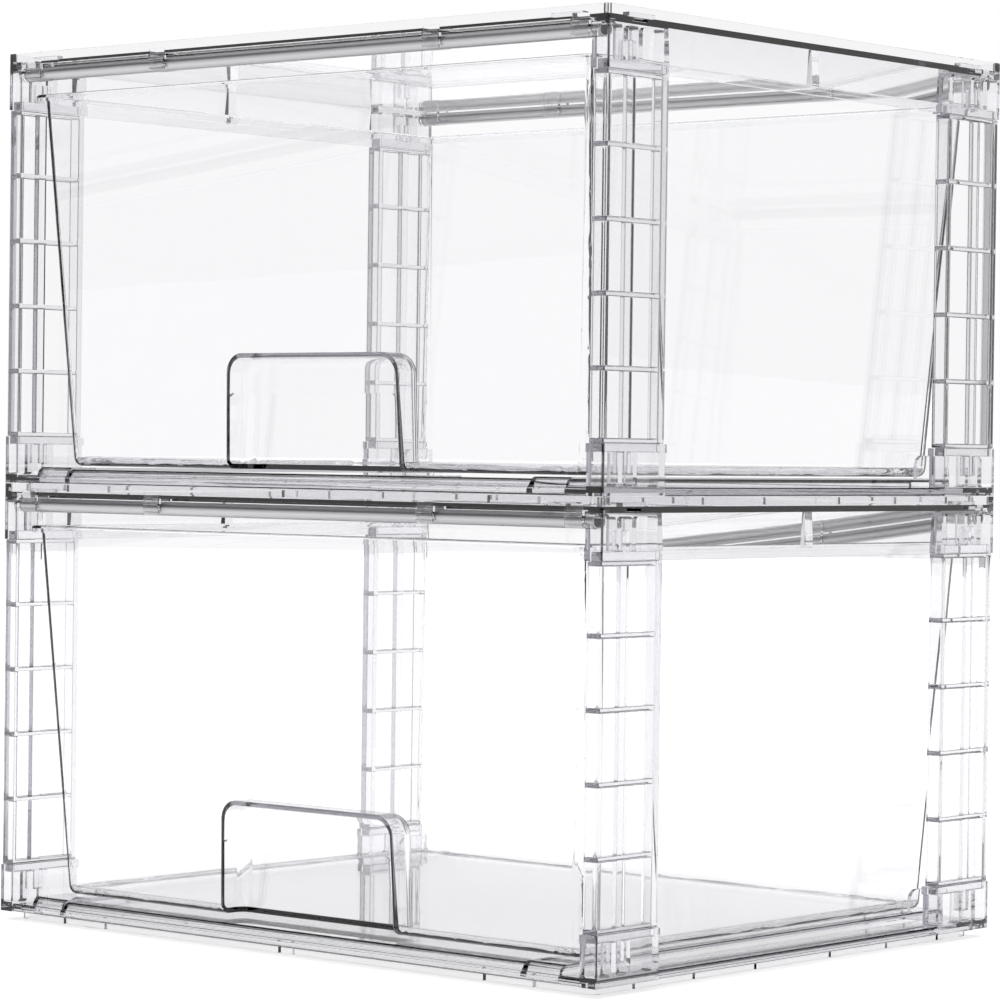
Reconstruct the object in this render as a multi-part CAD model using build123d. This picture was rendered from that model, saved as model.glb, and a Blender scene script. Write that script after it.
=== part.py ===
from build123d import *
import os

# Two clear plastic drawer boxes, one nested on the other, in millimetres.
# Each box is a tray-like base, four ribbed corner posts, a lid stiffened by two
# steel tubes, and a tapered drawer that slides out towards -Y.
# X runs across the front, Y from front to back, Z up; the origin is under the middle.

# ---- whole box ----
WIDTH = 342.0
DEPTH = 273.0
TIER_PITCH = 190.0
SEAT_GAP = 0.3
HALF_X = WIDTH / 2
HALF_Y = DEPTH / 2
OUTER_CORNER = 1.1
INNER_CORNER = 1.4

# ---- nesting skirt under each base ----
SKIRT_HEIGHT = 3.5
SKIRT_INSET = 6.1
SKIRT_WALL = 2.0
SKIRT_CORNER = 5.0
SKIRT_SLOT_WIDTH = 1.6
SKIRT_SLOT_ROOF = -0.6
SKIRT_SLOTS_X = (4.0, 109.0, 135.0)
SKIRT_SLOTS_Y = (26.0, 67.0, 105.5)

# ---- base ----
BASE_FLOOR_TOP = 3.5
BASE_FLOOR = 2.3
BASE_EDGE_WALL = 2.2
BASE_EDGE_ROUND = 1.4
BASE_BLOCK_TOP = 17.0
BASE_BEAD_TOP = 20.5
RAIL_TOP = 7.2
PLATFORM_TOP = 6.4
RAIL_SHELL = 1.6
RAIL_INNER_X = 132.3
RAIL_OUTER_X = 151.8
RAIL_FRONT_INSET = 2.2
RAIL_BACK_INSET = 10.0
RAIL_NOSE = 4.0
STOP_X = 150.7
STOP_HEIGHT = 10.0
STOP_LENGTH = 22.0
STOP_WALL = 1.8
STOP_NOSE = 5.0

# ---- lid ----
LID_BEAD_BOTTOM = 165.0
LID_BEAD_TOP = 168.8
LID_PLATE_BOTTOM = 183.5
LID_PLATE_TOP = 186.0
LID_RIM_TOP = TIER_PITCH - SEAT_GAP
LID_RIM_WALL = 2.5
LOCATOR_LENGTH = 16.0
LOCATOR_INSET = 30.0
LOCATOR_HEIGHT = 1.6
LOCATOR_GAP = 0.4
CHANNEL_ROOF = 184.6
CHANNEL_DEPTH = 9.6
APRON_WALL_FOOT = 1.7
APRON_WALL_TOP = 3.4
APRON_BEAD_WALL = 2.9
APRON_RIB_WIDTH = 5.0
APRON_RIB_DEPTH = 1.2
WINDOW_WIDTH = 9.0
WINDOW_DEPTH = 3.5
WINDOW_HEIGHT = 1.4

# ---- corner sockets of base and lid ----
BLOCK_X = 8.2
BLOCK_Y = 39.0
BLOCK_WALL = 1.7
LEG_POCKET = (13.0, 19.6)
BLOCK_POCKETS = ((1.7, 9.6), LEG_POCKET, (22.2, 35.6))
POCKET_ROUND = 1.4
BLOCK_CAP = 1.3
BEAD_STEP = 0.5

# ---- corner posts ----
POST_INSET = 0.6
POST_X = 7.0
POST_Y = 38.0
POST_SKIN = 1.8
POST_OUTER_FLANGE = 2.2
POST_INNER_FLANGE = 3.2
POST_MIDRIB = 4.8
POST_MIDRIB_DEPTH = 4.2
POST_CROSS_RIB = 1.6
POST_BAYS = 5
POST_CORNER = 0.7
POST_CORNER_FILL = 1.1
POST_END_GAP = 0.2
PLUG_GAP = 0.25
LEG_LENGTH = 12.0
LEG_WIDTH = 4.6

# ---- stiffening tubes and their clips ----
TUBE_R = 3.0
TUBE_BORE_R = 2.3
TUBE_INSET_Y = 4.7
TUBE_TOP_GAP = 0.2
TUBE_HALF_LENGTH = 165.6
CLIP_WIDTH = 9.0
CLIP_AT_X = (78.5, 156.0)
CLIP_GAP = 0.12
CLIP_WALL = 1.1
CLIP_MOUTH = 3.2
CLIP_HOLD = 1.35
CLIP_WINDOW_HALF = 2.4
SOCKET_HOLE_R = TUBE_R + 0.12
SOCKET_HOLE_HALF = 166.5

# ---- drawer ----
DRAWER_BOTTOM = 7.8
DRAWER_RIM_BOTTOM = 168.2
DRAWER_RIM_TOP = 171.3
DRAWER_TOP_X = 156.2
DRAWER_FOOT_X = 147.8
DRAWER_TOP_FRONT = 7.4
DRAWER_FOOT_FRONT = 18.0
DRAWER_TOP_BACK = 8.0
DRAWER_FOOT_BACK = 18.5
DRAWER_WALL = 2.0
DRAWER_FLOOR = 2.2
DRAWER_TOP_CORNER = 2.6
DRAWER_FOOT_CORNER = 4.8
DRAWER_FOOT_R = 4.0
DRAWER_INNER_FOOT_R = 2.5
RIM_OUT = 4.2
RIM_SKIN = 1.3
RIM_ROUND = 1.0

# ---- finger recess at the foot of the drawer front ----
RECESS_TOP = 57.0
RECESS_DEPTH = 12.0
RECESS_HALF_FOOT = 51.4
RECESS_HALF_TOP = 49.0
RECESS_CORNER = 9.0
RECESS_WALL = 2.0
RECESS_BACK_R = 4.0
LIP_BOTTOM = 40.0
LIP_CORNER = 3.0

TUBE_Z = LID_PLATE_BOTTOM - TUBE_TOP_GAP - TUBE_R
TUBE_Y = HALF_Y - TUBE_INSET_Y
BASE_UNDERSIDE = BASE_FLOOR_TOP - BASE_FLOOR

# ---- working allowances of the solid model ----
JOIN = 0.2    # overlap of two shapes that are added together
CUT = 1.0     # reach of a cutting shape past the surface it cuts
NEAR = 0.05   # how close an edge must lie to be picked for rounding


def box(x0, x1, y0, y1, z0, z1):
    """A box between two opposite corners."""
    body = Box(x1 - x0, y1 - y0, z1 - z0)
    return Pos((x0 + x1) / 2, (y0 + y1) / 2, (z0 + z1) / 2) * body


def slab(half_x, half_y, corner, z0, z1):
    """A flat slab with rounded plan corners."""
    outline = RectangleRounded(2 * half_x, 2 * half_y, corner)
    return Pos(0, 0, z0) * extrude(outline, z1 - z0)


def ring(half_x, half_y, corner, wall, z0, z1):
    """A closed upright wall with rounded plan corners."""
    inner_corner = max(corner - wall, INNER_CORNER)
    outer = slab(half_x, half_y, corner, z0, z1)
    inner = slab(half_x - wall, half_y - wall, inner_corner, z0 - CUT, z1 + CUT)
    return outer - inner


def corner_places():
    """The four corners as signs of X and Y."""
    return [(sx, sy) for sx in (-1, 1) for sy in (-1, 1)]


def at_corner(shape, sx, sy):
    """Mirrors a shape made for the +X +Y corner to another corner."""
    if sx < 0:
        shape = mirror(shape, about=Plane.YZ)
    if sy < 0:
        shape = mirror(shape, about=Plane.XZ)
    return shape


def outer_upright(body, half_x, half_y):
    """The upright edge of a corner piece that stands at the outside corner."""
    uprights = body.edges().filter_by(Axis.Z)
    return [e for e in uprights if e.center().X > half_x - NEAR and e.center().Y > half_y - NEAR]


def block_pockets(z0, z1):
    """The three pockets inside a corner block, rounded at both ends; the middle one takes a post's leg."""
    pockets = []
    for near, far in BLOCK_POCKETS:
        pocket = box(HALF_X - BLOCK_X + BLOCK_WALL, HALF_X - BLOCK_WALL, HALF_Y - far, HALF_Y - near, z0, z1)
        ends = pocket.edges().filter_by(Axis.X)
        pockets.append(fillet(ends, POCKET_ROUND))
    return pockets


def corner_block(z0, z1, pocket_z0, pocket_z1):
    """One socket block for a post, with three pockets, at the +X +Y corner."""
    body = box(HALF_X - BLOCK_X, HALF_X, HALF_Y - BLOCK_Y, HALF_Y, z0, z1)
    body = fillet(outer_upright(body, HALF_X, HALF_Y), OUTER_CORNER)
    for pocket in block_pockets(pocket_z0, pocket_z1):
        body -= pocket
    return body


def corner_bead(z0, z1):
    """The thicker band round the mouth of a socket block."""
    x0 = HALF_X - BLOCK_X
    y0 = HALF_Y - BLOCK_Y
    body = box(x0 - BEAD_STEP, HALF_X, y0 - BEAD_STEP, HALF_Y, z0, z1)
    body = fillet(outer_upright(body, HALF_X, HALF_Y), OUTER_CORNER)
    hollow = box(
        x0 + BLOCK_WALL, HALF_X - BLOCK_WALL, y0 + BLOCK_WALL, HALF_Y - BLOCK_WALL, z0 - CUT, z1 + CUT
    )
    return body - hollow


def corner_fill(corner_x, corner_y, z0, z1):
    """A slanted fillet in the inner corner of a post, for strength."""
    fill = POST_CORNER_FILL
    section = Polygon(
        (corner_x + JOIN, corner_y + JOIN), (corner_x - fill, corner_y + JOIN), (corner_x - fill, corner_y),
        (corner_x, corner_y - fill), (corner_x + JOIN, corner_y - fill), align=None
    )
    return Pos(0, 0, z0) * extrude(section, z1 - z0)


def corner_post():
    """One ribbed post at the +X +Y corner: an open channel with cross ribs, a plug and a leg at each end."""
    x1 = HALF_X - POST_INSET
    x0 = x1 - POST_X
    y1 = HALF_Y - POST_INSET
    y0 = y1 - POST_Y
    z0 = BASE_BEAD_TOP + POST_END_GAP
    z1 = LID_BEAD_BOTTOM - POST_END_GAP
    mid_y = HALF_Y - sum(LEG_POCKET) / 2
    skin = box(x1 - POST_SKIN, x1, y0, y1, z0, z1)
    inner_edge = box(x0, x1, y0, y0 + POST_INNER_FLANGE, z0, z1)
    outer_edge = box(x0, x1, y1 - POST_OUTER_FLANGE, y1, z0, z1)
    midrib = box(x1 - POST_MIDRIB_DEPTH, x1, mid_y - POST_MIDRIB / 2, mid_y + POST_MIDRIB / 2, z0, z1)
    body = skin + inner_edge + outer_edge + midrib
    body += corner_fill(x1 - POST_SKIN, y1 - POST_OUTER_FLANGE, z0, z1)
    bay = (z1 - z0) / POST_BAYS
    for index in range(POST_BAYS + 1):
        rib_z = min(max(z0 + index * bay, z0 + POST_CROSS_RIB / 2), z1 - POST_CROSS_RIB / 2)
        body += box(x0, x1, y0, y1, rib_z - POST_CROSS_RIB / 2, rib_z + POST_CROSS_RIB / 2)
    body = fillet(outer_upright(body, x1, y1), POST_CORNER)
    body += post_plug(BASE_BLOCK_TOP + POST_END_GAP, z0 + JOIN)
    body += post_plug(z1 - JOIN, LID_BEAD_TOP - POST_END_GAP)
    return body + post_leg(z0 - LEG_LENGTH, z0 + JOIN) + post_leg(z1 - JOIN, z1 + LEG_LENGTH)


def plug_x():
    """The X range inside a socket that a post's plug and leg fill, with a small gap."""
    return HALF_X - BLOCK_X + BLOCK_WALL + PLUG_GAP, HALF_X - BLOCK_WALL - PLUG_GAP


def post_plug(z0, z1):
    """The solid slab that fills the bead of a corner block."""
    x0, x1 = plug_x()
    y0 = HALF_Y - BLOCK_Y + BLOCK_WALL + PLUG_GAP
    y1 = HALF_Y - BLOCK_WALL - PLUG_GAP
    return box(x0, x1, y0, y1, z0, z1)


def post_leg(z0, z1):
    """The leg that stands in the middle pocket of a corner block."""
    x0, x1 = plug_x()
    mid_y = HALF_Y - sum(LEG_POCKET) / 2
    return box(x0, x1, mid_y - LEG_WIDTH / 2, mid_y + LEG_WIDTH / 2, z0, z1)


def raised_strip(x0, x1, top):
    """A strip raised above the floor, rounded down at its front end, and the hollow under it."""
    y0 = -HALF_Y + RAIL_FRONT_INSET
    y1 = HALF_Y - RAIL_BACK_INSET
    shell = RAIL_SHELL
    outer = box(x0, x1, y0, y1, BASE_UNDERSIDE, top)
    tops = outer.edges().filter_by(Axis.X)
    nose = [e for e in tops if e.center().Y < y0 + NEAR and e.center().Z > top - NEAR]
    outer = fillet(nose, RAIL_NOSE)
    inner = box(x0 + shell, x1 - shell, y0 + shell, y1 - shell, BASE_UNDERSIDE - CUT, top - shell)
    tops = inner.edges().filter_by(Axis.X)
    nose = [e for e in tops if e.center().Y < y0 + shell + NEAR and e.center().Z > top - shell - NEAR]
    inner = fillet(nose, RAIL_NOSE - shell)
    return outer, inner


def base_stop(sign):
    """A short upright tab with a rounded nose at the back of a runner."""
    y1 = HALF_Y - RAIL_BACK_INSET
    y0 = y1 - STOP_LENGTH
    top = RAIL_TOP + STOP_HEIGHT
    tab = box(STOP_X - STOP_WALL / 2, STOP_X + STOP_WALL / 2, y0, y1, RAIL_TOP - JOIN, top)
    tops = tab.edges().filter_by(Axis.X)
    nose = [e for e in tops if e.center().Y < y0 + NEAR and e.center().Z > top - NEAR]
    tab = fillet(nose, STOP_NOSE)
    if sign < 0:
        tab = mirror(tab, about=Plane.YZ)
    return tab


def skirt():
    """The slotted wall under the base that drops inside the rim of the lid below."""
    half_x = HALF_X - SKIRT_INSET
    half_y = HALF_Y - SKIRT_INSET
    body = ring(half_x, half_y, SKIRT_CORNER, SKIRT_WALL, -SKIRT_HEIGHT, BASE_UNDERSIDE + JOIN)
    half_slot = SKIRT_SLOT_WIDTH / 2
    foot = -SKIRT_HEIGHT - CUT
    for sign in (-1, 1):
        for place in SKIRT_SLOTS_X:
            at = sign * place
            body -= box(at - half_slot, at + half_slot, -HALF_Y, HALF_Y, foot, SKIRT_SLOT_ROOF)
        for place in SKIRT_SLOTS_Y:
            at = sign * place
            body -= box(-HALF_X, HALF_X, at - half_slot, at + half_slot, foot, SKIRT_SLOT_ROOF)
    return body


def base_tray():
    """The base floor with a turned-down rounded edge all round."""
    tray = slab(HALF_X, HALF_Y, OUTER_CORNER, 0, BASE_FLOOR_TOP)
    rims = [e for e in tray.edges() if min(abs(e.center().Z), abs(e.center().Z - BASE_FLOOR_TOP)) < NEAR]
    tray = fillet(rims, BASE_EDGE_ROUND)
    inner_x = HALF_X - BASE_EDGE_WALL
    inner_y = HALF_Y - BASE_EDGE_WALL
    return tray - slab(inner_x, inner_y, OUTER_CORNER, -CUT, BASE_UNDERSIDE)


def make_base():
    """The base: floor, rounded edge, skirt, two runners with a plateau between, stops and post sockets."""
    body = base_tray() + skirt()
    half_platform = RAIL_INNER_X + JOIN
    strips = (
        (-half_platform, half_platform, PLATFORM_TOP),
        (RAIL_INNER_X, RAIL_OUTER_X, RAIL_TOP),
        (-RAIL_OUTER_X, -RAIL_INNER_X, RAIL_TOP),
    )
    for x0, x1, top in strips:
        outer, inner = raised_strip(x0, x1, top)
        body = body + outer - inner
    for sign in (-1, 1):
        body += base_stop(sign)
    block = corner_block(0, BASE_BLOCK_TOP, BASE_FLOOR_TOP + JOIN, BASE_BLOCK_TOP + BLOCK_X)
    bead = corner_bead(BASE_BLOCK_TOP, BASE_BEAD_TOP)
    for sx, sy in corner_places():
        body += at_corner(block, sx, sy)
        body += at_corner(bead, sx, sy)
    return body


def tube_clip(at_x):
    """A split saddle under the front edge of the lid that a tube snaps into from below."""
    centre = Pos(at_x, -TUBE_Y, TUBE_Z) * Rot(0, 90, 0)
    outer = centre * Cylinder(TUBE_R + CLIP_GAP + CLIP_WALL, CLIP_WIDTH)
    neck_half = TUBE_R + CLIP_GAP + CLIP_WALL
    neck = box(
        at_x - CLIP_WIDTH / 2, at_x + CLIP_WIDTH / 2, -TUBE_Y - neck_half, -TUBE_Y + neck_half,
        TUBE_Z, CHANNEL_ROOF + JOIN
    )
    bore = centre * Cylinder(TUBE_R + CLIP_GAP, CLIP_WIDTH + 2 * CUT)
    mouth = box(
        at_x - CLIP_WIDTH, at_x + CLIP_WIDTH, -TUBE_Y - CLIP_MOUTH, -TUBE_Y + CLIP_MOUTH,
        TUBE_Z - neck_half - CUT, TUBE_Z - CLIP_HOLD
    )
    return outer + neck - bore - mouth


def side_apron():
    """The hanging side wall of the lid between two corner blocks, on the +X side."""
    y1 = HALF_Y - BLOCK_Y + JOIN
    top = LID_PLATE_BOTTOM + JOIN
    foot_x = HALF_X - APRON_WALL_FOOT
    top_x = HALF_X - APRON_WALL_TOP
    half_rib = APRON_RIB_WIDTH / 2
    section = Plane.XZ * Polygon(
        (HALF_X, LID_BEAD_TOP), (HALF_X, top), (top_x, top), (foot_x, LID_BEAD_TOP), align=None
    )
    body = Pos(0, y1, 0) * extrude(section, 2 * y1)
    body += box(HALF_X - APRON_BEAD_WALL, HALF_X, -y1, y1, LID_BEAD_BOTTOM, LID_BEAD_TOP)
    body += box(top_x - APRON_RIB_DEPTH, HALF_X - JOIN, -half_rib, half_rib, LID_BEAD_TOP, top)
    return body


def locator_pad():
    """An L-shaped pair of pads inside the lid rim that centre the skirt above, at the +X +Y corner."""
    inner_x = HALF_X - SKIRT_INSET + LOCATOR_GAP
    inner_y = HALF_Y - SKIRT_INSET + LOCATOR_GAP
    start_x = HALF_X - LOCATOR_INSET
    start_y = HALF_Y - LOCATOR_INSET
    foot = LID_PLATE_TOP - JOIN
    top = LID_PLATE_TOP + LOCATOR_HEIGHT
    back_x = HALF_X - LID_RIM_WALL + JOIN
    back_y = HALF_Y - LID_RIM_WALL + JOIN
    along_x = box(start_x, start_x + LOCATOR_LENGTH, inner_y, back_y, foot, top)
    along_y = box(inner_x, back_x, start_y, start_y + LOCATOR_LENGTH, foot, top)
    return along_x + along_y


def tube_channel():
    """The shallow step under the front edge of the lid plate that makes room for a tube."""
    half = HALF_X - BLOCK_X - BEAD_STEP
    y0 = -HALF_Y - CUT
    return box(-half, half, y0, -HALF_Y + CHANNEL_DEPTH, LID_PLATE_BOTTOM - CUT, CHANNEL_ROOF)


def clip_window(at_x):
    """The mould opening through the plate above one clip."""
    half = CLIP_WIDTH / 2
    y0 = -TUBE_Y - CLIP_WINDOW_HALF
    y1 = -TUBE_Y + CLIP_WINDOW_HALF
    return box(at_x - half, at_x + half, y0, y1, TUBE_Z, LID_PLATE_TOP + CUT)


def edge_window(sx, sy):
    """A small blind window in the side edge of the plate over a corner block."""
    middle = sy * (HALF_Y - BLOCK_Y / 2)
    x0, x1 = sorted((sx * (HALF_X + CUT), sx * (HALF_X - WINDOW_DEPTH)))
    z0 = LID_PLATE_BOTTOM + (LID_PLATE_TOP - LID_PLATE_BOTTOM - WINDOW_HEIGHT) / 2
    return box(x0, x1, middle - WINDOW_WIDTH / 2, middle + WINDOW_WIDTH / 2, z0, z0 + WINDOW_HEIGHT)


def add_tube_seats(body):
    """Adds the two tube channels, their clips and the holes that the tube ends stand in."""
    clip_places = [sx * at_x for sx in (-1, 1) for at_x in CLIP_AT_X]
    for sy in (-1, 1):
        added = [tube_clip(at_x) for at_x in clip_places]
        cut = [clip_window(at_x) for at_x in clip_places]
        channel = tube_channel()
        if sy > 0:
            added = [mirror(shape, about=Plane.XZ) for shape in added]
            cut = [mirror(shape, about=Plane.XZ) for shape in cut]
            channel = mirror(channel, about=Plane.XZ)
        body -= channel
        for shape in added:
            body += shape
        for shape in cut:
            body -= shape
        place = Pos(0, sy * TUBE_Y, TUBE_Z) * Rot(0, 90, 0)
        body -= place * Cylinder(SOCKET_HOLE_R, 2 * SOCKET_HOLE_HALF)
    return body


def make_lid():
    """The lid: plate, raised rim, side aprons, four post sockets and the tube clips."""
    body = slab(HALF_X, HALF_Y, OUTER_CORNER, LID_PLATE_BOTTOM, LID_PLATE_TOP)
    body += ring(HALF_X, HALF_Y, OUTER_CORNER, LID_RIM_WALL, LID_PLATE_TOP - JOIN, LID_RIM_TOP)
    apron = side_apron()
    body += apron
    body += mirror(apron, about=Plane.YZ)
    cap = LID_PLATE_BOTTOM - BLOCK_CAP
    block = corner_block(LID_BEAD_TOP, LID_PLATE_BOTTOM + JOIN, LID_BEAD_TOP - BLOCK_X, cap)
    bead = corner_bead(LID_BEAD_BOTTOM, LID_BEAD_TOP)
    for sx, sy in corner_places():
        body += at_corner(locator_pad(), sx, sy)
        body += at_corner(block, sx, sy)
        body += at_corner(bead, sx, sy)
    body = add_tube_seats(body)
    for sx, sy in corner_places():
        body -= edge_window(sx, sy)
    return body


def make_tube(sign):
    """One steel stiffening tube, along X under the front or back edge of the lid."""
    place = Pos(0, sign * TUBE_Y, TUBE_Z) * Rot(0, 90, 0)
    outer = place * Cylinder(TUBE_R, 2 * TUBE_HALF_LENGTH)
    bore = place * Cylinder(TUBE_BORE_R, 2 * (TUBE_HALF_LENGTH + CUT))
    return outer - bore


def drawer_section(inset, z):
    """Half width, half depth, middle Y and corner radius of the drawer at one height, less an inset."""
    share = (z - DRAWER_BOTTOM) / (DRAWER_RIM_TOP - DRAWER_BOTTOM)
    half_x = DRAWER_FOOT_X + share * (DRAWER_TOP_X - DRAWER_FOOT_X)
    front = -HALF_Y + DRAWER_FOOT_FRONT + share * (DRAWER_TOP_FRONT - DRAWER_FOOT_FRONT)
    back = HALF_Y - DRAWER_FOOT_BACK - share * (DRAWER_TOP_BACK - DRAWER_FOOT_BACK)
    corner = DRAWER_FOOT_CORNER + share * (DRAWER_TOP_CORNER - DRAWER_FOOT_CORNER)
    return half_x - inset, (back - front) / 2 - inset, (back + front) / 2, corner - inset


def drawer_outline(inset, z):
    """The rounded outline of the drawer at one height."""
    half_x, half_y, middle, corner = drawer_section(inset, z)
    return Pos(0, middle, z) * RectangleRounded(2 * half_x, 2 * half_y, corner)


def drawer_block(inset, z0, z1, foot_r):
    """The drawer's outer form moved inwards by an inset, rounded along its foot."""
    body = loft([drawer_outline(inset, z0), drawer_outline(inset, z1)])
    foot = [e for e in body.edges() if abs(e.center().Z - z0) < NEAR]
    return fillet(foot, foot_r)


def recess_profile(grow, top, half_foot, half_top, corner):
    """The recess outline in the XZ plane: wider at the foot, rounded at the top."""
    half0 = half_foot + grow
    half1 = half_top + grow
    low = DRAWER_BOTTOM - CUT
    with BuildSketch(Plane.XZ) as sketch:
        with BuildLine():
            Polyline((-half0, low), (-half1, top + grow), (half1, top + grow), (half0, low), close=True)
        make_face()
        tops = sketch.vertices().sort_by(Axis.Y)[-2:]
        fillet(tops, corner + grow)
    return sketch.sketch


def recess_block(grow, top, depth, half_foot, half_top, corner, back_r):
    """The recess form pushed into the drawer from in front of its face."""
    profile = recess_profile(grow, top, half_foot, half_top, corner)
    foot_y = -HALF_Y + DRAWER_FOOT_FRONT
    front = -HALF_Y - CUT
    back = foot_y + depth
    body = Pos(0, back, 0) * extrude(profile, back - front)
    if back_r > 0:
        at_back = [e for e in body.edges() if abs(e.center().Y - back) < NEAR]
        body = fillet([e for e in at_back if e.center().Z > DRAWER_BOTTOM], back_r)
    return body


def drawer_rim():
    """The rolled rim round the top of the drawer: a flat top turned down at its outer edge."""
    half_x, half_y, middle, corner = drawer_section(-RIM_OUT, DRAWER_RIM_TOP)
    top = slab(half_x, half_y, corner, DRAWER_RIM_BOTTOM, DRAWER_RIM_TOP)
    upper = [e for e in top.edges() if abs(e.center().Z - DRAWER_RIM_TOP) < NEAR]
    top = fillet(upper, RIM_ROUND)
    under = slab(
        half_x - RIM_SKIN, half_y - RIM_SKIN, corner - RIM_SKIN,
        DRAWER_RIM_BOTTOM - CUT, DRAWER_RIM_TOP - RIM_SKIN
    )
    return Pos(0, middle, 0) * (top - under)


def make_drawer():
    """The tapered drawer with a rolled rim and a finger recess under a pull lip."""
    outer = drawer_block(0, DRAWER_BOTTOM, DRAWER_RIM_TOP, DRAWER_FOOT_R)
    floor_top = DRAWER_BOTTOM + DRAWER_FLOOR
    inner = drawer_block(DRAWER_WALL, floor_top, DRAWER_RIM_TOP + CUT, DRAWER_INNER_FOOT_R)
    shell = outer - inner
    half_foot = RECESS_HALF_FOOT - RECESS_WALL
    half_top = RECESS_HALF_TOP - RECESS_WALL
    top = RECESS_TOP - RECESS_WALL
    corner = RECESS_CORNER - RECESS_WALL
    pocket_wall = recess_block(
        RECESS_WALL, top, RECESS_DEPTH + RECESS_WALL, half_foot, half_top, corner,
        RECESS_BACK_R + RECESS_WALL
    )
    pocket = recess_block(0, top, RECESS_DEPTH, half_foot, half_top, corner, RECESS_BACK_R)
    half_lip = (half_foot + half_top) / 2
    lip_cut = recess_block(0, LIP_BOTTOM, 2 * RECESS_DEPTH, half_foot, half_lip, LIP_CORNER, 0)
    lip = shell & (pocket - lip_cut)
    body = shell + (pocket_wall & outer) - pocket + lip
    body += drawer_rim() - inner
    return body


def write_tier(tier, z0):
    """Writes the nine pieces of one box, raised to its height in the stack."""
    post = corner_post()
    pieces = {
        "base": make_base(),
        "lid": make_lid(),
        "front_tube": make_tube(-1),
        "back_tube": make_tube(1),
        "drawer": make_drawer(),
    }
    for sx, sy in corner_places():
        depth_name = "back" if sy > 0 else "front"
        side_name = "right" if sx > 0 else "left"
        pieces[f"{depth_name}_{side_name}_post"] = at_corner(post, sx, sy)
    for name, shape in pieces.items():
        solids = shape.solids()
        print(tier, name, "solids", len(solids), "volume cm3", round(sum(s.volume for s in solids) / 1000, 2))
        export_step(Pos(0, 0, z0) * shape, f"parts/{tier}_{name}.step")


os.makedirs("parts", exist_ok=True)
write_tier("lower", SKIRT_HEIGHT)
write_tier("upper", SKIRT_HEIGHT + TIER_PITCH)
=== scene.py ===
import math

import bpy
from mathutils import Matrix, Vector


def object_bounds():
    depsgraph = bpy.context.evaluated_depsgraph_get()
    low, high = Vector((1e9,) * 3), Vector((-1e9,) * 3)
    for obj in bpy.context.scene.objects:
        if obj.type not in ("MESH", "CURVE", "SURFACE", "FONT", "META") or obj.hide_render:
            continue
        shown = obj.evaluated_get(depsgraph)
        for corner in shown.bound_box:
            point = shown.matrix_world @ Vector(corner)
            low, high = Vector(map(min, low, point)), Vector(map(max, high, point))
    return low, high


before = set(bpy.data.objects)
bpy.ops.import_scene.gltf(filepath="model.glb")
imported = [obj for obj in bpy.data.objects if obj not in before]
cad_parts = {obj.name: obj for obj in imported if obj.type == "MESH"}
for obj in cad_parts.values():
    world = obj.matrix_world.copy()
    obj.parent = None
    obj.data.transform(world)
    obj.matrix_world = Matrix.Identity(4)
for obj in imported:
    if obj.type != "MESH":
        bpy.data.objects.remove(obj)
cad_low, cad_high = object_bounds()

# ---- driving values, in metres ----
MM = 0.001
EDGE_ROUND = 0.35 * MM
EDGE_ANGLE = math.radians(28)
EDGE_SEGMENTS = 2
WELD_DISTANCE = 0.01 * MM
FLAT_ANGLE = math.radians(0.5)
AREA_WEIGHT = 100

# ---- the photograph's viewpoint, seen from the box's front right corner ----
VIEW_AZIMUTH = math.radians(40.69)
VIEW_PITCH = math.radians(-0.785)
VIEW_ROLL = math.radians(0.75)
VIEW_FROM_CORNER = Vector((0.9102, -1.1189, 0.2079))
CORNER_HEIGHT = 3.5 * MM
SENSOR = 36.0
LENS = 135.05
CAMERA_NEAR = 0.05
CAMERA_FAR = 50.0

# ---- optical values of the clear plastic ----
PLASTIC_IOR = 1.53
PLASTIC_DEEP = (0.10, 0.10, 0.18, 1.0)
FRAME_TINT = (0.985, 0.985, 0.99)
DRAWER_TINT = (0.99, 0.99, 0.995)
FRAME_WAVE_SCALE = 30.0
DRAWER_WAVE_SCALE = 12.0
FRAME_WAVE_DEPTH = 0.6 * MM
DRAWER_WAVE_DEPTH = 0.8 * MM
FRAME_HAZE = 0.02
DRAWER_HAZE = 0.015
WAVE_DETAIL = 2.0
WAVE_STRENGTH = 0.05
ABSORB_FRAME = 30.0
ABSORB_POST = 32.0
ABSORB_DRAWER = 14.0

# ---- steel of the tubes ----
STREAK_STRETCH = (6.0, 900.0, 900.0)
STREAK_DETAIL = 4.0
STEEL_DARK = (0.42, 0.42, 0.43, 1.0)
STEEL_LIGHT = (0.66, 0.66, 0.67, 1.0)
STEEL_SMOOTH = 0.30
STEEL_ROUGH = 0.45

# ---- floor and studio ----
FLOOR_RADIUS = 6.0
FLOOR_SIDES = 96
FLOOR_COLOUR = (0.9, 0.9, 0.9, 1.0)
FLOOR_ROUGHNESS = 0.9
FLOOR_GAP = 0.4 * MM
FLOOR_GLOW = 0.66
PANELS = 8
GAP_EDGE = (0.10, 0.40)
RING_LOW = (0.28, 0.34)
RING_HIGH = (0.60, 0.72)
DARK = (0.03, 0.03, 0.04, 1.0)
WHITE = (1.0, 1.0, 1.0, 1.0)

# ---- light bounces through the stacked clear walls ----
ALL_BOUNCES = 40
CLEAR_BOUNCES = 36
GLOSSY_BOUNCES = 12
CUT_OUT_BOUNCES = 24


def value(node, name, number):
    """Sets one input of a shader node."""
    node.inputs[name].default_value = number


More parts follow.
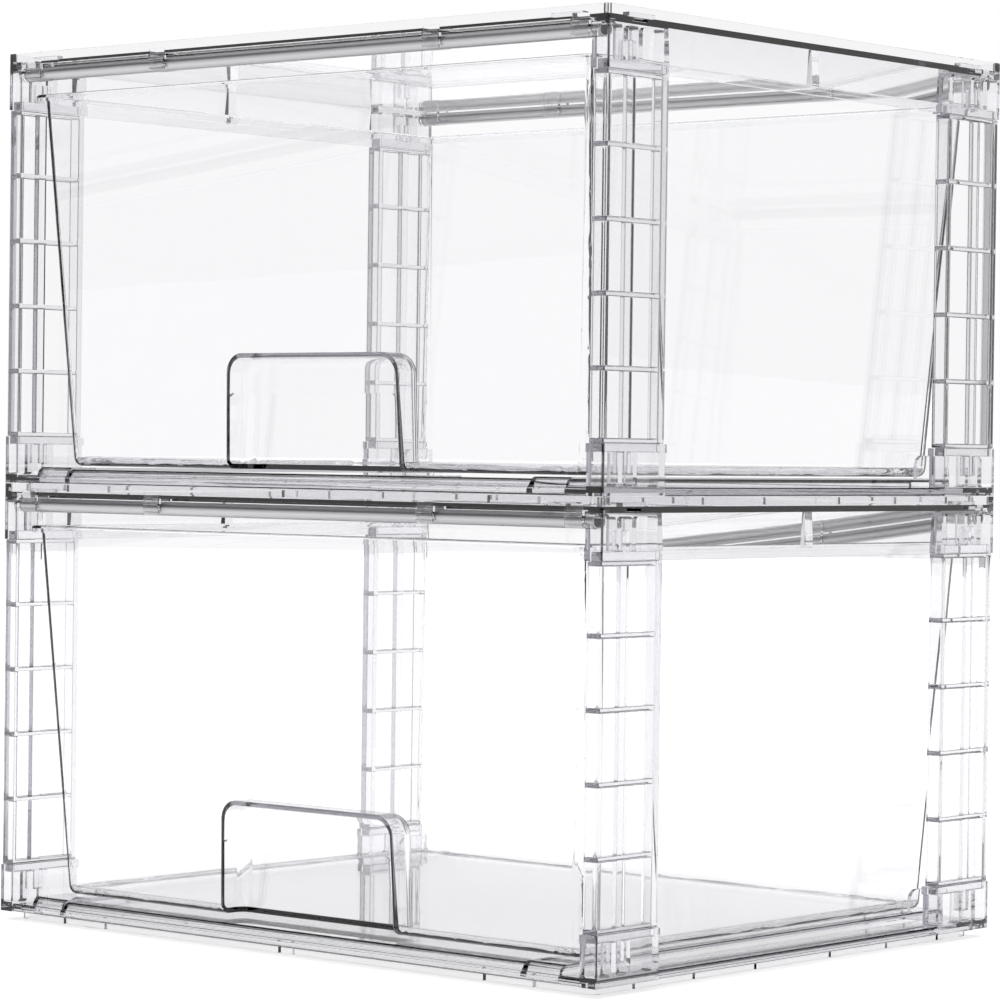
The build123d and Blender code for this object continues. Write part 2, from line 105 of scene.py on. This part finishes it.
def clear_plastic(name, tint, absorb, wave_scale, wave_depth, haze):
    """Polished clear plastic: smooth moulded surface with faint flow waves and a slight tint in depth."""
    mat = bpy.data.materials.new(name)
    mat.use_nodes = True
    nodes, links = mat.node_tree.nodes, mat.node_tree.links
    shader = nodes["Principled BSDF"]
    value(shader, "Base Color", (*tint, 1.0))
    value(shader, "Transmission Weight", 1.0)
    value(shader, "IOR", PLASTIC_IOR)
    coords = nodes.new("ShaderNodeTexCoord")
    waves = nodes.new("ShaderNodeTexNoise")
    value(waves, "Scale", wave_scale)
    value(waves, "Detail", WAVE_DETAIL)
    links.new(coords.outputs["Object"], waves.inputs["Vector"])
    bump = nodes.new("ShaderNodeBump")
    value(bump, "Strength", WAVE_STRENGTH)
    value(bump, "Distance", wave_depth)
    links.new(waves.outputs["Fac"], bump.inputs["Height"])
    links.new(bump.outputs["Normal"], shader.inputs["Normal"])
    polish = nodes.new("ShaderNodeMapRange")
    value(polish, "To Min", 0.0)
    value(polish, "To Max", haze)
    links.new(waves.outputs["Fac"], polish.inputs["Value"])
    links.new(polish.outputs["Result"], shader.inputs["Roughness"])
    depth = nodes.new("ShaderNodeVolumeAbsorption")
    value(depth, "Color", PLASTIC_DEEP)
    value(depth, "Density", absorb)
    links.new(depth.outputs["Volume"], nodes["Material Output"].inputs["Volume"])
    return mat


def steel(name):
    """Drawn steel tube: fine lengthwise streaks and a soft reflection."""
    mat = bpy.data.materials.new(name)
    mat.use_nodes = True
    nodes, links = mat.node_tree.nodes, mat.node_tree.links
    shader = nodes["Principled BSDF"]
    value(shader, "Metallic", 1.0)
    coords = nodes.new("ShaderNodeTexCoord")
    stretch = nodes.new("ShaderNodeMapping")
    value(stretch, "Scale", STREAK_STRETCH)
    links.new(coords.outputs["Object"], stretch.inputs["Vector"])
    streaks = nodes.new("ShaderNodeTexNoise")
    value(streaks, "Scale", 1.0)
    value(streaks, "Detail", STREAK_DETAIL)
    links.new(stretch.outputs["Vector"], streaks.inputs["Vector"])
    shade = nodes.new("ShaderNodeValToRGB")
    shade.color_ramp.elements[0].color = STEEL_DARK
    shade.color_ramp.elements[1].color = STEEL_LIGHT
    links.new(streaks.outputs["Fac"], shade.inputs["Fac"])
    links.new(shade.outputs["Color"], shader.inputs["Base Color"])
    rough = nodes.new("ShaderNodeMapRange")
    value(rough, "To Min", STEEL_SMOOTH)
    value(rough, "To Max", STEEL_ROUGH)
    links.new(streaks.outputs["Fac"], rough.inputs["Value"])
    links.new(rough.outputs["Result"], shader.inputs["Roughness"])
    return mat


def soften_edges(obj, width):
    """Rounds the crisp edges of a CAD piece a little, as moulding does, and keeps its flat faces flat."""
    weld = obj.modifiers.new("weld", "WELD")
    weld.merge_threshold = WELD_DISTANCE
    flat = obj.modifiers.new("flat", "DECIMATE")
    flat.decimate_type = "DISSOLVE"
    flat.angle_limit = FLAT_ANGLE
    bevel = obj.modifiers.new("edge", "BEVEL")
    bevel.width = width
    bevel.segments = EDGE_SEGMENTS
    bevel.limit_method = "ANGLE"
    bevel.angle_limit = EDGE_ANGLE
    bevel.use_clamp_overlap = True
    bevel.harden_normals = True
    even = obj.modifiers.new("even", "WEIGHTED_NORMAL")
    even.mode = "FACE_AREA"
    even.weight = AREA_WEIGHT
    even.keep_sharp = False


def dress_nodes():
    """Gives every CAD piece its finish."""
    frame_finish = (FRAME_TINT, ABSORB_FRAME, FRAME_WAVE_SCALE, FRAME_WAVE_DEPTH, FRAME_HAZE)
    post_finish = (FRAME_TINT, ABSORB_POST, FRAME_WAVE_SCALE, FRAME_WAVE_DEPTH, FRAME_HAZE)
    drawer_finish = (DRAWER_TINT, ABSORB_DRAWER, DRAWER_WAVE_SCALE, DRAWER_WAVE_DEPTH, DRAWER_HAZE)
    frame_plastic = clear_plastic("clear_frame", *frame_finish)
    post_plastic = clear_plastic("clear_post", *post_finish)
    drawer_plastic = clear_plastic("clear_drawer", *drawer_finish)
    metal = steel("steel_tube")
    for name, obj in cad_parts.items():
        if "tube" in name:
            mat = metal
        elif "drawer" in name:
            mat = drawer_plastic
        elif "post" in name:
            mat = post_plastic
        else:
            mat = frame_plastic
        obj.data.materials.clear()
        obj.data.materials.append(mat)
        if "tube" not in name:
            soften_edges(obj, EDGE_ROUND)


def math_node(nodes, links, operation, first, second=None):
    """One maths step in a node tree; an input is a socket or a number."""
    node = nodes.new("ShaderNodeMath")
    node.operation = operation
    for socket, source in zip(node.inputs, (first, second)):
        if source is None:
            continue
        if isinstance(source, (int, float)):
            socket.default_value = source
        else:
            links.new(source, socket)
    return node.outputs[0]


def soft_step(nodes, links, source, start, end):
    """0 below start, 1 above end, and smooth between."""
    node = nodes.new("ShaderNodeMapRange")
    node.interpolation_type = "SMOOTHSTEP"
    links.new(source, node.inputs["Value"])
    value(node, "From Min", start)
    value(node, "From Max", end)
    return node.outputs["Result"]


def white_floor():
    """A plain white floor under the boxes."""
    bpy.ops.mesh.primitive_circle_add(
        vertices=FLOOR_SIDES, radius=FLOOR_RADIUS, fill_type="NGON", location=(0, 0, cad_low.z - FLOOR_GAP)
    )
    floor = bpy.context.object
    floor.name = "studio_floor"
    mat = bpy.data.materials.new("studio_floor")
    mat.use_nodes = True
    shader = mat.node_tree.nodes["Principled BSDF"]
    value(shader, "Base Color", FLOOR_COLOUR)
    value(shader, "Roughness", FLOOR_ROUGHNESS)
    value(shader, "Specular IOR Level", 0.0)
    value(shader, "Emission Color", WHITE)
    value(shader, "Emission Strength", FLOOR_GLOW)
    floor.data.materials.append(mat)


def studio_light():
    """White panels all round with dark gaps between them and a dark ring above, as clear things are lit."""
    world = bpy.data.worlds.new("studio")
    bpy.context.scene.world = world
    world.use_nodes = True
    nodes, links = world.node_tree.nodes, world.node_tree.links
    sky = nodes["Background"]
    value(sky, "Strength", 1.0)
    coords = nodes.new("ShaderNodeTexCoord")
    split = nodes.new("ShaderNodeSeparateXYZ")
    links.new(coords.outputs["Generated"], split.inputs["Vector"])
    left = math_node(nodes, links, "MULTIPLY", split.outputs["X"], -1.0)
    turn = math_node(nodes, links, "ARCTAN2", left, split.outputs["Y"])
    turns = math_node(nodes, links, "MULTIPLY", turn, float(PANELS))
    between = math_node(nodes, links, "MULTIPLY", math_node(nodes, links, "COSINE", turns), -1.0)
    gaps = soft_step(nodes, links, between, *GAP_EDGE)
    height = split.outputs["Z"]
    ring_low = soft_step(nodes, links, height, *RING_LOW)
    ring_high = soft_step(nodes, links, height, *RING_HIGH)
    ring = math_node(nodes, links, "SUBTRACT", ring_low, ring_high)
    dark = math_node(nodes, links, "MAXIMUM", gaps, ring)
    under_ring = math_node(nodes, links, "SUBTRACT", 1.0, ring_high)
    dark = math_node(nodes, links, "MULTIPLY", dark, under_ring)
    mix = nodes.new("ShaderNodeMix")
    mix.data_type = "RGBA"
    links.new(dark, mix.inputs["Factor"])
    mix.inputs["A"].default_value = WHITE
    mix.inputs["B"].default_value = DARK
    links.new(mix.outputs["Result"], sky.inputs["Color"])
    plain = nodes.new("ShaderNodeBackground")
    value(plain, "Color", WHITE)
    path = nodes.new("ShaderNodeLightPath")
    choose = nodes.new("ShaderNodeMixShader")
    links.new(path.outputs["Is Camera Ray"], choose.inputs["Fac"])
    links.new(sky.outputs["Background"], choose.inputs[1])
    links.new(plain.outputs["Background"], choose.inputs[2])
    links.new(choose.outputs["Shader"], nodes["World Output"].inputs["Surface"])


def photo_camera():
    """The camera at the photograph's place and angle."""
    data = bpy.data.cameras.new("camera")
    data.sensor_width = SENSOR
    data.lens = LENS
    data.dof.use_dof = False
    data.clip_start = CAMERA_NEAR
    data.clip_end = CAMERA_FAR
    cam = bpy.data.objects.new("camera", data)
    bpy.context.scene.collection.objects.link(cam)
    corner = Vector((cad_high.x, cad_low.y, CORNER_HEIGHT))
    cos_p, sin_p = math.cos(VIEW_PITCH), math.sin(VIEW_PITCH)
    ahead = Vector((-math.sin(VIEW_AZIMUTH) * cos_p, math.cos(VIEW_AZIMUTH) * cos_p, sin_p))
    right = Vector((math.cos(VIEW_AZIMUTH), math.sin(VIEW_AZIMUTH), 0.0))
    up = right.cross(ahead)
    turned_right = right * math.cos(VIEW_ROLL) + up * math.sin(VIEW_ROLL)
    turned_up = up * math.cos(VIEW_ROLL) - right * math.sin(VIEW_ROLL)
    rotation = Matrix((turned_right, turned_up, -ahead)).transposed().to_4x4()
    cam.matrix_world = Matrix.Translation(corner + VIEW_FROM_CORNER) @ rotation
    bpy.context.scene.camera = cam


def render_look():
    """Enough light bounces for stacked clear walls, and true colours."""
    scene = bpy.context.scene
    scene.view_settings.view_transform = "Standard"
    scene.cycles.max_bounces = ALL_BOUNCES
    scene.cycles.transmission_bounces = CLEAR_BOUNCES
    scene.cycles.glossy_bounces = GLOSSY_BOUNCES
    scene.cycles.transparent_max_bounces = CUT_OUT_BOUNCES


dress_nodes()
white_floor()
studio_light()
photo_camera()
render_look()
